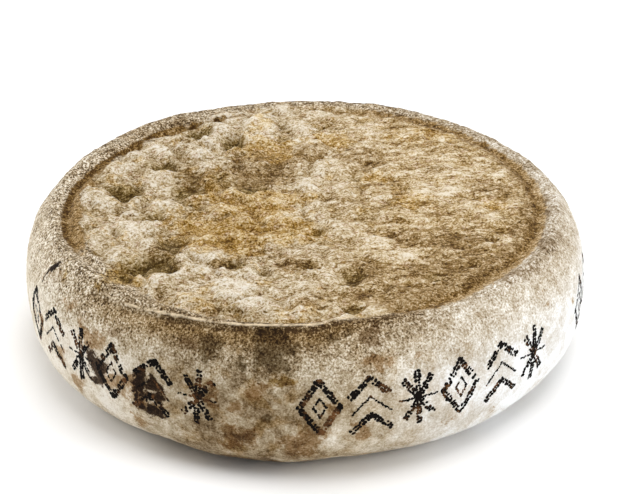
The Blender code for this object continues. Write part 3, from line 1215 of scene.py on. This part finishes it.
@dataclass(frozen=True)
class RindFinish:
    """The rind: craggy crust on top, mouldy side, with stains, specks and fine grain.

    In the sums of tones, a pair is a mask and how much lighter or darker the rind is there.
    """

    roughness: float = 0.92
    specular: float = 0.12
    fuzz: float = 0.03
    bump_reach: float = 0.0008
    fibre_turn: float = 20.0
    fibre: tuple[float, float, float] = (0.0055, 0.0017, 0.0055)
    thread_turn: float = 8.0
    thread: tuple[float, float, float] = (0.0018, 0.0007, 0.0010)
    flakes: Grain = Grain(0.0022, 5.0, 0.68, 0.6)
    fibres: Grain = Grain(1.0, 5.0, 0.66, 0.4)
    threads: Grain = Grain(1.0, 3.0, 0.7)
    grit: Grain = Grain(0.0007, 4.0, 0.7)
    crust_clouds: Grain = Grain(0.012)
    crust_dashes: Grain = Grain(0.0032, 4.0, 0.6)
    rim_streaks: Grain = Grain(1.0, 3.0, 0.6)
    rim_wander: Grain = Grain(0.012, 2.0)
    side_clouds: Grain = Grain(0.020)
    side_patches: Grain = Grain(0.0065, 5.0, 0.62, 0.5)
    side_earth: Grain = Grain(0.009, 4.0, 0.6, 0.5)
    soil_rags: Grain = Grain(0.005, 5.0, 0.62, 0.8)
    crack_rags: Grain = Grain(0.0010, 4.0, 0.65, 0.5)
    # The crack below the rim, painted dark as shade: each part's ends and width
    crack_parts: tuple[tuple, ...] = (
        ((-0.0880, -0.0382, 0.0477), (-0.0832, -0.0402, 0.0519), 0.00145),
        ((-0.0903, -0.0379, 0.0434), (-0.0872, -0.0383, 0.0486), 0.00040),
    )
    crack_rise: float = 0.08
    crack_depth: float = 0.003
    # Stains of the side: name, film, how strong, how large the rags of the border, how worn
    side_films: tuple[tuple[str, Film, float, float, float], ...] = (
        ("golden", Film.OCHRE, 0.90, 0.0026, 0.4),
        ("rusty", Film.RUST, 0.90, 0.0020, 0.55),
        ("brown", Film.BROWN, 0.80, 0.0026, 0.5),
        ("grey", Film.GREY, 0.85, 0.0030, 0.3),
        ("smudged", Film.SMUDGE, 1.0, 0.0016, 0.25),
    )

    def crust_colour(self, bench: NodeBench, effects: Effects, place: object, fine: object) -> object:
        """The colour of the crust on top.

        Args:
            bench: the material's bench.
            effects: the shared node groups.
            place: the place on the object.
            fine: light and dark of the fine texture, round 0.

        Returns:
            The colour.
        """
        broad = bench.swing(bench.noise(place, self.crust_clouds), 0.65)
        dashes = bench.noise(bench.stretched(place, (2.4, 1.0, 1.0), 8.0), self.crust_dashes)
        pit = bench.attribute("pit")
        worn = bench.stain(effects, place, "brown", 0.0035)
        pale = bench.stain(effects, place, "pale", 0.0035)
        yellow = bench.times(bench.step(bench.part(place, "X"), -0.020, 0.040), 0.45)
        golden = bench.most(bench.stain(effects, place, "golden", 0.004), yellow)
        tone = bench.total(
            0.69,
            fine,
            broad,
            (bench.swing(dashes, 0.95), bench.total(0.35, (yellow, 2.6))),
            (bench.attribute("lift"), 0.055),
            (bench.attribute("fine"), 0.20),
            # pit: olive floors of the pits, made darker as painted shade
            (pit, -0.19),
            # crease_and_shade: painted shade in creases, at the feet of steep pit walls and under the front
            # ridge
            (bench.attribute("crease_and_shade"), -0.13),
            (self.pocks(bench, effects, place, 8.0), -0.34),
            (self.pocks(bench, effects, place, 50.0), 0.14),
            (golden, -0.09),
            (worn, -0.20),
            (pale, 0.14),
        )
        flecks = bench.group(effects.mottle, place, Size=0.0028, Low=0.53, High=0.66)
        along = bench.stretched(place, (0.6, 1.0, 1.0), 50.0)
        ochre = bench.group(effects.mottle, along, Size=0.0058, Low=0.54, High=0.68)
        golden = bench.most(golden, bench.times(ochre, 0.75))
        colour = bench.mix(golden, bench.ramp(tone, Tones.CRUST), bench.ramp(tone, Tones.GOLDEN))
        rusty = bench.ramp(bench.total(tone, -0.08), Tones.RUSTY)
        colour = bench.mix(bench.times(flecks, 0.55), colour, rusty)
        colour = bench.mix(bench.times(worn, 0.8), colour, bench.ramp(tone, Tones.WORN))
        return bench.mix(bench.times(pit, 0.8), colour, bench.ramp(tone, Tones.OLIVE))

    def pocks(self, bench: NodeBench, effects: Effects, place: object, turn: float) -> object:
        """Short pocks strewn over the crust, as a mask, all turned one way by degrees."""
        along = bench.stretched(place, (1.6, 1.0, 1.0), turn)
        return bench.group(effects.specks, along, Size=0.0014, Share=0.40, Reach=0.40)

    def streaks(self, bench: NodeBench, place: object) -> object:
        """Fine light and dark streaks that run round the rim, round 0.

        Args:
            bench: the material's bench.
            place: the place on the object.

        Returns:
            The streaks.
        """
        sideways, forwards = bench.part(place, "X"), bench.part(place, "Y")
        square = bench.total((sideways, sideways), (forwards, forwards))
        radius = bench.math("DIVIDE", bench.math("SQRT", square), 0.0009)
        slow = bench.times(bench.noise(place, self.rim_wander), 9.0)
        across = bench.output("ShaderNodeCombineXYZ", {"X": radius, "Y": slow})
        return bench.swing(bench.noise(across, self.rim_streaks), 1.2)

    def side_colour(self, bench: NodeBench, effects: Effects, place: object, fine: object) -> object:
        """The colour of rim and side.

        Args:
            bench: the material's bench.
            effects: the shared node groups.
            place: the place on the object.
            fine: light and dark of the fine texture, round 0.

        Returns:
            The colour.
        """
        height, sideways = bench.part(place, "Z"), bench.part(place, "X")
        low = bench.step(height, 0.014, 0.004)
        shoulder = bench.step(height, 0.030, 0.050)
        high = bench.step(height, 0.042, 0.052)
        rim = bench.step(height, 0.051, 0.0555)
        right = bench.step(sideways, 0.010, 0.060)
        left = bench.times(bench.step(sideways, -0.050, -0.080), shoulder)
        band = bench.attribute("band")
        soft = bench.total(0.60, (shoulder, 0.80), (rim, 0.5))
        soft = bench.total((soft, bench.total(1.0, (right, -0.35))), (left, 0.45))
        clean = bench.total(1.0, (shoulder, -0.50), (rim, -0.20))
        mould = bench.times(bench.attribute("mould"), clean)
        calm = bench.total(1.0, (shoulder, -0.45))
        patches = bench.swing(bench.noise(place, self.side_patches), 1.5)
        patches = bench.times(patches, bench.total(1.1, (mould, -0.6)))
        specks = bench.group(effects.specks, place, Size=0.0012, Share=0.45, Reach=0.45)
        tone = bench.total(
            0.38,
            (mould, 0.60),
            (shoulder, 0.03),
            (bench.times(high, mould), -0.12),
            (fine, soft),
            (patches, calm),
            (bench.swing(bench.noise(place, self.side_clouds), 0.8), calm),
            (low, -0.06),
            (left, -0.03),
            (bench.times(left, rim), 0.12),
            (right, bench.total(0.02, (shoulder, -0.06))),
            # band: brown dirt with painted shadow under the ridge, made darker
            (band, -0.14),
            (rim, bench.total(-0.16, (right, 0.20))),
            (rim, self.streaks(bench, place)),
            # Painted shadow in the dent under the front ridge, weaker on the right, where the light falls
            (bench.attribute("crease_and_shade"), bench.total(-0.22, (right, 0.16))),
            (specks, bench.total(-0.18, (shoulder, -0.22), (rim, 0.08), (right, 0.12), (left, -0.28))),
        )
        bare = bench.math("SUBTRACT", 1.0, bench.attribute("mould"))
        earth = bench.step(bench.noise(place, self.side_earth), 0.48, 0.64)
        # The band outside the ridge takes the worn brown: dirt with painted shadow
        earth = bench.most(bench.times(earth, bare), band)
        white = bench.times(right, bench.total(1.0, (shoulder, -0.4)))
        colour = bench.mix(white, bench.ramp(tone, Tones.SIDE), bench.ramp(tone, Tones.MOULD))
        colour = bench.mix(bench.times(earth, 0.75), colour, bench.ramp(tone, Tones.WORN))
        for name, stain, share, size, worn in self.side_films:
            mark = bench.times(bench.stain(effects, place, name, size, worn), share)
            colour = bench.through(colour, mark, stain)
        # The crack below the rim, painted dark as the shade in its gap
        return bench.through(colour, self.crack(bench, place), Film.SMUDGE)

    def crack(self, bench: NodeBench, place: object) -> object:
        """A short crack below the rim, painted dark as the shade in its gap, as a mask: two thin lens shapes
        end to end.

        Args:
            bench: the material's bench.
            place: the place on the object.

        Returns:
            The mask.
        """
        ragged = bench.swing(bench.noise(place, self.crack_rags), 2.4)
        mask = 0.0
        for start, end, width in self.crack_parts:
            middle = (Vector(start) + Vector(end)) / 2
            way = Vector(end) - Vector(start)
            across = Vector((middle.x, middle.y, self.crack_rise)).cross(way).normalized()
            axes = (way.normalized(), across, way.normalized().cross(across))
            inputs = {"Vector": place, "Location": middle, "Rotation": Matrix(axes).transposed().to_euler(),
                      "Scale": (way.length / 2, width, self.crack_depth)}
            inside = bench.output("ShaderNodeMapping", inputs, vector_type="TEXTURE")
            away = bench.add("ShaderNodeVectorMath", {0: inside}, operation="LENGTH").outputs["Value"]
            mask = bench.most(mask, bench.step(bench.total(away, ragged), 1.20, 0.75))
        return mask

    def build(self, effects: Effects) -> bpy.types.Material:
        """Makes the material.

        Args:
            effects: the shared node groups.

        Returns:
            The material.
        """
        material, bench, shader = new_material("rind", self.roughness, self.specular)
        place = bench.place()
        flakes = bench.noise(place, self.flakes)
        fibres = bench.noise(bench.stretched(place, self.fibre, self.fibre_turn), self.fibres)
        threads = bench.noise(bench.stretched(place, self.thread, self.thread_turn), self.threads)
        grain = bench.noise(place, self.grit)
        crust_fine = bench.total(bench.swing(flakes, 1.1), bench.swing(fibres, 0.55),
                                 bench.swing(grain, 2.3), bench.swing(threads, 1.3))
        side_fine = bench.total(bench.swing(flakes, 0.7), bench.swing(grain, 1.9))
        on_crust = bench.attribute("crust")
        colour = bench.mix(on_crust, self.side_colour(bench, effects, place, side_fine),
                           self.crust_colour(bench, effects, place, crust_fine))
        uneven = bench.swing(bench.noise(place, self.soil_rags), 2.4)
        floor = bench.attribute("furrow")
        # Painted shade along the foot of the lip's inner wall, darker within the furrow's dirt
        gutter_shade = bench.step(bench.total(bench.attribute("gutter_shade"), uneven), 0.20, 1.00)
        valley = bench.step(bench.part(place, "X"), -0.040, 0.050)
        tone = bench.total(0.38, (valley, 0.11), (gutter_shade, -0.24), crust_fine, (uneven, -0.16))
        ragged = bench.total((floor, 1.8), uneven, bench.swing(flakes, 2.4), side_fine)
        dirty = bench.times(bench.step(ragged, 0.60, 1.15), bench.step(floor, 0.0, 0.15))
        colour = bench.mix(dirty, colour, bench.ramp(tone, Tones.WORN))
        # Painted highlight along the top of the front ridge, broken up by the fibres
        ridge = bench.times(bench.step(bench.attribute("ridge"), 0.25, 0.85), bench.step(fibres, 0.25, 0.55))
        bench.put(shader.inputs["Base Color"], bench.mix(ridge, colour, Tint.RIDGE_HIGHLIGHT))
        shader.inputs["Sheen Weight"].default_value = self.fuzz
        height = bench.total(flakes, (fibres, bench.times(on_crust, 0.6)), (grain, 0.7))
        height = bench.times(height, bench.total(0.35, (on_crust, 0.65)))
        bump = {"Strength": 1.0, "Distance": self.bump_reach, "Height": height}
        bench.put(shader.inputs["Normal"], bench.output("ShaderNodeBump", bump))
        return material


@dataclass(frozen=True)
class InkFinish:
    """Black ink, worn to brown in places."""

    roughness: float = 0.85
    specular: float = 0.1
    grit: Grain = Grain(0.0008, 2.0)
    worn_share: float = 0.8

    def build(self, effects: Effects) -> bpy.types.Material:
        """Makes the material.

        Args:
            effects: the shared node groups.

        Returns:
            The material.
        """
        material, bench, shader = new_material("ink", self.roughness, self.specular)
        place = bench.place()
        worn = bench.group(effects.mottle, place, Size=0.006, Low=0.52, High=0.66)
        grit = bench.noise(place, self.grit)
        colour = bench.mix(bench.times(worn, self.worn_share), Tint.INK, Tint.INK_WORN)
        bench.put(shader.inputs["Base Color"], bench.scaled(colour, bench.total(grit, 0.5)))
        return material


class Motif(Enum):
    """The figures of the printed band."""

    LOZENGE = "lozenge"
    CHEVRONS = "chevrons"
    STAR = "star"


class Stroke(NamedTuple):
    """A bent line of a figure."""

    corners: tuple[tuple[float, float], ...]
    thin: bool


@dataclass
class StampBand:
    """A band of dotted figures printed round the side, in groups with bare rind between them."""

    form: WheelForm
    middle: float = 0.0295
    tall: float = 0.0195
    wide: float = 0.0135
    pitch: float = 0.0168
    groups: int = 5
    first_group: float = -92.0
    row_gap: float = 0.00115
    dot_gap: float = 0.00112
    dot_radius: float = 0.00078
    thin_gap: float = 0.00055
    thin_radius: float = 0.00048
    lift: float = 0.00003
    flatness: float = 0.10
    wear: float = 0.08
    seed: int = 5
    jitter: float = 0.00022
    smallest: float = 0.60
    largest: float = 1.30
    shifted: float = 0.0006
    tilted: float = 4.0
    outside: float = 0.0005
    edge_length: float = 0.002
    order: tuple[Motif, ...] = (Motif.LOZENGE, Motif.CHEVRONS, Motif.STAR) * 2

    def strokes(self, motif: Motif) -> list[Stroke]:
        """The strokes of a figure, in shares of its width and height from its middle.

        Args:
            motif: the figure.

        Returns:
            Its strokes.
        """
        if motif is Motif.LOZENGE:
            return [
                Stroke(((0, 0.5), (0.5, 0), (0, -0.5), (-0.5, 0), (0, 0.5)), thin=False),
                Stroke(((0, 0.18), (0.16, 0), (0, -0.18), (-0.16, 0), (0, 0.18)), thin=True),
            ]
        if motif is Motif.CHEVRONS:
            return [
                Stroke(((-0.5, level - 0.16), (0, level + 0.16), (0.5, level - 0.16)), level == 0)
                for level in (-0.34, 0, 0.34)
            ]
        return [
            Stroke(((-0.5, 0), (0.5, 0)), thin=True),
            Stroke(((0, -0.5), (0, 0.5)), thin=False),
            Stroke(((-0.36, -0.36), (0.36, 0.36)), thin=False),
            Stroke(((-0.36, 0.36), (0.36, -0.36)), thin=False),
        ]

    def on_side(self, angle: float, along: float, up: float) -> Vector:
        """A point of the side.

        Args:
            angle: the direction of the figure's middle, in degrees.
            along: how far round from there.
            up: how far above the middle of the band.

        Returns:
            The point, a little outside the plain side.
        """
        turn = math.degrees(along / (self.form.diameter / 2))
        return self.form.side_point(angle + turn, self.middle + up, self.outside)

    def stroke_mesh(self, thin: bool) -> bpy.types.Mesh:
        """Edges along the rows of the thin strokes, or of the others.

        Args:
            thin: whether for the thin ones.

        Returns:
            A mesh of edges only.
        """
        draw = random.Random(self.seed)
        points: list[Vector] = []
        edges: list[tuple[int, int]] = []
        for group in range(self.groups):
            start = self.first_group + 360 / self.groups * group
            for place, motif in enumerate(self.order):
                along = (place + 0.5) * self.pitch + draw.uniform(-self.shifted, self.shifted)
                angle = start + math.degrees(along / (self.form.diameter / 2))
                tilt = math.radians(draw.uniform(-self.tilted, self.tilted))
                for stroke in self.strokes(motif):
                    for offset in (0.0,) if thin else (-self.row_gap / 2, self.row_gap / 2):
                        if stroke.thin == thin:
                            self.add_row(points, edges, angle, tilt, stroke, offset)
        mesh = bpy.data.meshes.new("stamp_strokes")
        mesh.from_pydata(points, edges, [])
        return mesh

    def add_row(self, points: list[Vector], edges: list[tuple[int, int]], angle: float, tilt: float,
                stroke: Stroke, offset: float) -> None:
        """Adds one row of a stroke.

        Args:
            points: the points so far, added to.
            edges: the edges so far, added to.
            angle: the direction of the figure's middle, in degrees.
            tilt: how far the figure is turned, in radians.
            stroke: the stroke.
            offset: how far the row lies to the side of it.
        """
        corners = [Vector((x * self.wide, y * self.tall)) for x, y in stroke.corners]
        for start, end in zip(corners, corners[1:]):
            aside = (end - start).normalized().orthogonal() * offset
            first = len(points)
            steps = max(2, round((end - start).length / self.edge_length))
            for step in range(steps + 1):
                spot = start.lerp(end, step / steps) + aside
                spot.rotate(Matrix.Rotation(tilt, 2))
                points.append(self.on_side(angle, spot.x, spot.y))
            edges.extend((index, index + 1) for index in range(first, first + steps))

    def build(self, wheel: Piece, ink: bpy.types.Material) -> list[Piece]:
        """Makes the dots by Geometry Nodes and bakes them to plain meshes.

        Args:
            wheel: the wheel that they lie on.
            ink: their material.

        Returns:
            The dotted strokes and the thin ones.
        """
        tree, names = self.dots_tree()
        bands = []
        for name, thin, gap, radius in (
            ("stamped_dots", False, self.dot_gap, self.dot_radius),
            ("stamped_lines", True, self.thin_gap, self.thin_radius),
        ):
            band = bpy.data.objects.new(name, self.stroke_mesh(thin))
            bpy.context.scene.collection.objects.link(band)
            values = {"Wheel": wheel, "Gap": gap, "Radius": radius, "Flatness": self.flatness,
                      "Lift": self.lift, "Wear": self.wear, "Seed": self.seed, "Ink": ink}
            bands.append(bake_nodes(band, tree, {names[label]: value for label, value in values.items()}))
        return bands

    def dots_tree(self) -> tuple[Tree, dict[str, str]]:
        """Dots of ink along edges, laid on the surface of an object.

        Returns:
            The tree, and its inputs' identifiers by name.
        """
        bench, given, result, names = geometry_tree("ink_dots", {
            "Wheel": "Object", "Gap": "Float", "Radius": "Float", "Flatness": "Float", "Lift": "Float",
            "Wear": "Float", "Seed": "Int", "Ink": "Material"})
        seed = {"Seed": given["Seed"]}
        curve = bench.output("GeometryNodeMeshToCurve", {0: given["Geometry"]})
        lines = {"Curve": curve, "Length": given["Gap"]}
        dots = bench.add("GeometryNodeCurveToPoints", lines, mode="LENGTH").outputs["Points"]
        surface = bench.add("GeometryNodeObjectInfo", {"Object": given["Wheel"]}).outputs["Geometry"]
        reach = {0: (-self.jitter,) * 3, 1: (self.jitter,) * 3}
        jitter = bench.output("FunctionNodeRandomValue", {**seed, **reach}, data_type="FLOAT_VECTOR")
        dots = bench.output("GeometryNodeSetPosition", {"Geometry": dots, "Offset": jitter})
        near = bench.add("GeometryNodeProximity", {"Geometry": surface}, target_element="FACES")
        normal = {"Mesh": surface, "Value": bench.output("GeometryNodeInputNormal")}
        facing = bench.output("GeometryNodeSampleNearestSurface", normal, data_type="FLOAT_VECTOR")
        lifted = {0: near.outputs["Position"], 1: bench.scaled(facing, given["Lift"])}
        seat = bench.output("ShaderNodeVectorMath", lifted, operation="ADD")
        dots = bench.output("GeometryNodeSetPosition", {"Geometry": dots, "Position": seat})
        gone = bench.add("FunctionNodeRandomValue", {**seed, "Probability": given["Wear"]},
                         data_type="BOOLEAN").outputs[3]
        dots = bench.output("GeometryNodeDeleteGeometry", {"Geometry": dots, "Selection": gone})
        ball = bench.output("GeometryNodeMeshIcoSphere", {"Subdivisions": 1, "Radius": given["Radius"]})
        flat = bench.output("ShaderNodeCombineXYZ", {"X": 1.0, "Y": 1.0, "Z": given["Flatness"]})
        ball = bench.output("GeometryNodeTransform", {"Geometry": ball, "Scale": flat})
        aligned = bench.output("FunctionNodeAlignRotationToVector", {"Vector": facing}, axis="Z")
        spin = bench.add("FunctionNodeRandomValue", {**seed, 3: 2 * math.pi}, data_type="FLOAT").outputs[1]
        spun = bench.output("FunctionNodeAxisAngleToRotation", {"Angle": spin})
        turned = bench.output("FunctionNodeRotateRotation", {0: aligned, 1: spun}, rotation_space="LOCAL")
        sizes = {0: (self.smallest, self.smallest, 1.0), 1: (self.largest, self.largest, 1.0)}
        size = bench.output("FunctionNodeRandomValue", {**seed, **sizes}, data_type="FLOAT_VECTOR")
        placed = {"Points": dots, "Instance": ball, "Rotation": turned, "Scale": size}
        real = bench.output("GeometryNodeRealizeInstances",
                            {0: bench.output("GeometryNodeInstanceOnPoints", placed)})
        dressed = {"Geometry": real, "Material": given["Ink"]}
        bench.put(result.inputs[0], bench.output("GeometryNodeSetMaterial", dressed))
        return bench.tree, names


def bake_nodes(piece: Piece, tree: Tree, values: dict) -> Piece:
    """Runs a Geometry Nodes tree on a piece and keeps the result as its plain mesh.

    Args:
        piece: the object that carries the tree's input.
        tree: the node tree.
        values: what goes into the tree's inputs, by socket identifier.

    Returns:
        The same object with its new mesh.
    """
    modifier = piece.modifiers.new("nodes", "NODES")
    modifier.node_group = tree
    for identifier, value in values.items():
        modifier[identifier] = value
    graph = bpy.context.evaluated_depsgraph_get()
    graph.update()
    made = bpy.data.meshes.new_from_object(piece.evaluated_get(graph))
    piece.modifiers.clear()
    piece.data = made
    return piece


def geometry_tree(name: str, inputs: dict[str, str]) -> tuple:
    """An empty Geometry Nodes tree with named inputs.

    Args:
        name: the tree's name.
        inputs: the type of each further input.

    Returns:
        Its bench, what goes in by name, the output node, and the inputs' identifiers by name.
    """
    tree = bpy.data.node_groups.new(name, "GeometryNodeTree")
    names = {}
    for label, kind in {"Geometry": "Geometry", **inputs}.items():
        socket = tree.interface.new_socket(label, in_out="INPUT", socket_type="NodeSocket" + kind)
        names[label] = socket.identifier
    tree.interface.new_socket("Geometry", in_out="OUTPUT", socket_type="NodeSocketGeometry")
    bench = NodeBench(tree)
    return bench, bench.add("NodeGroupInput").outputs, bench.add("NodeGroupOutput"), names


@dataclass
class CheeseWheel:
    """The whole wheel: the rind and what is printed on it."""

    plain_height: float = 0.0558
    diameter: float = 0.200

    def build(self, effects: Effects) -> None:
        """Builds the pieces, dresses them and puts them on the frame.

        Args:
            effects: the shared node groups.
        """
        form = WheelForm(self.diameter, self.plain_height)
        wheel = RindMesh(form).build("rind_wheel")
        StainMap(form).write(wheel.data)
        wheel.data.materials.append(RindFinish().build(effects))
        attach(wheel, BODY)
        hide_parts(WHEEL_NODE)
        self.report(wheel)
        for band in StampBand(form).build(wheel, InkFinish().build(effects)):
            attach(band, BODY)
            self.report(band)

    @staticmethod
    def report(piece: Piece) -> None:
        """Logs a piece and its count of triangles."""
        piece.data.calc_loop_triangles()
        log.info("%s: %d triangles", piece.name, len(piece.data.loop_triangles))


@dataclass(frozen=True)
class SoftBox:
    """A square light that faces the wheel."""

    name: str
    direction: tuple[float, float, float]
    distance: float
    size: float
    power: float

    def build(self) -> None:
        """Adds the light."""
        data = bpy.data.lights.new(self.name, "AREA")
        data.energy = self.power
        data.size = self.size
        light = bpy.data.objects.new(self.name, data)
        towards = Vector(self.direction).normalized()
        light.location = towards * self.distance
        light.rotation_euler = towards.to_track_quat("Z", "Y").to_euler()
        bpy.context.scene.collection.objects.link(light)


@dataclass
class Studio:
    """A pale floor, soft light and the camera."""

    elevation: float = 27.18
    distance: float = 1.0
    focal_pixels: float = 2772.0
    frame_pixels: int = 620
    sensor: float = 36.0
    aim_height: float = 0.027
    aside: float = 0.0019
    raised: float = 0.00947
    world_level: float = 0.36
    floor_size: float = 12.0
    floor_roughness: float = 0.9
    floor_specular: float = 0.1
    lights: tuple[SoftBox, ...] = (
        SoftBox("overhead", (0.10, -0.08, 1.0), 1.6, 1.2, 20.0),
        SoftBox("right", (1.0, -0.35, 0.45), 1.4, 0.6, 8.2),
        SoftBox("left_behind", (-1.0, 0.45, 0.45), 1.4, 0.6, 10.0),
    )

    def build(self) -> None:
        """Adds floor, lights, world and camera."""
        self.build_floor()
        for light in self.lights:
            light.build()
        world = bpy.data.worlds.new("studio")
        world.use_nodes = True
        background = world.node_tree.nodes["Background"]
        background.inputs["Color"].default_value = (1.0, 1.0, 1.0, 1.0)
        background.inputs["Strength"].default_value = self.world_level
        bpy.context.scene.world = world
        bpy.context.scene.view_settings.view_transform = "Standard"
        self.build_camera()

    def build_floor(self) -> None:
        """Adds the floor, just under the wheel."""
        half = self.floor_size / 2
        mesh = bpy.data.meshes.new("floor")
        corners = [(-half, -half, 0.0), (half, -half, 0.0), (half, half, 0.0), (-half, half, 0.0)]
        mesh.from_pydata(corners, [], [(0, 1, 2, 3)])
        floor = bpy.data.objects.new("floor", mesh)
        bpy.context.scene.collection.objects.link(floor)
        material, bench, shader = new_material("floor", self.floor_roughness, self.floor_specular)
        bench.put(shader.inputs["Base Color"], Tint.FLOOR)
        mesh.materials.append(material)

    def build_camera(self) -> None:
        """Adds the camera, level from side to side and looking down at the wheel."""
        tilt = math.radians(self.elevation)
        back = Vector((0.0, -math.cos(tilt), math.sin(tilt)))
        right = Vector((1.0, 0.0, 0.0))
        up = back.cross(right)
        data = bpy.data.cameras.new("camera")
        data.sensor_width = self.sensor
        data.lens = self.focal_pixels / self.frame_pixels * self.sensor
        camera = bpy.data.objects.new("camera", data)
        place = Vector((0.0, 0.0, self.aim_height)) + back * self.distance
        place += right * self.aside + up * self.raised
        turn = Matrix((right, up, back)).transposed()
        camera.matrix_world = Matrix.Translation(place) @ turn.to_4x4()
        bpy.context.scene.collection.objects.link(camera)
        bpy.context.scene.camera = camera


def main() -> None:
    """Builds the studio and the wheel."""
    logging.basicConfig(level=logging.INFO, format="%(message)s")
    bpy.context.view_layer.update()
    Studio().build()
    CheeseWheel().build(Effects())


if __name__ == "__main__":
    main()
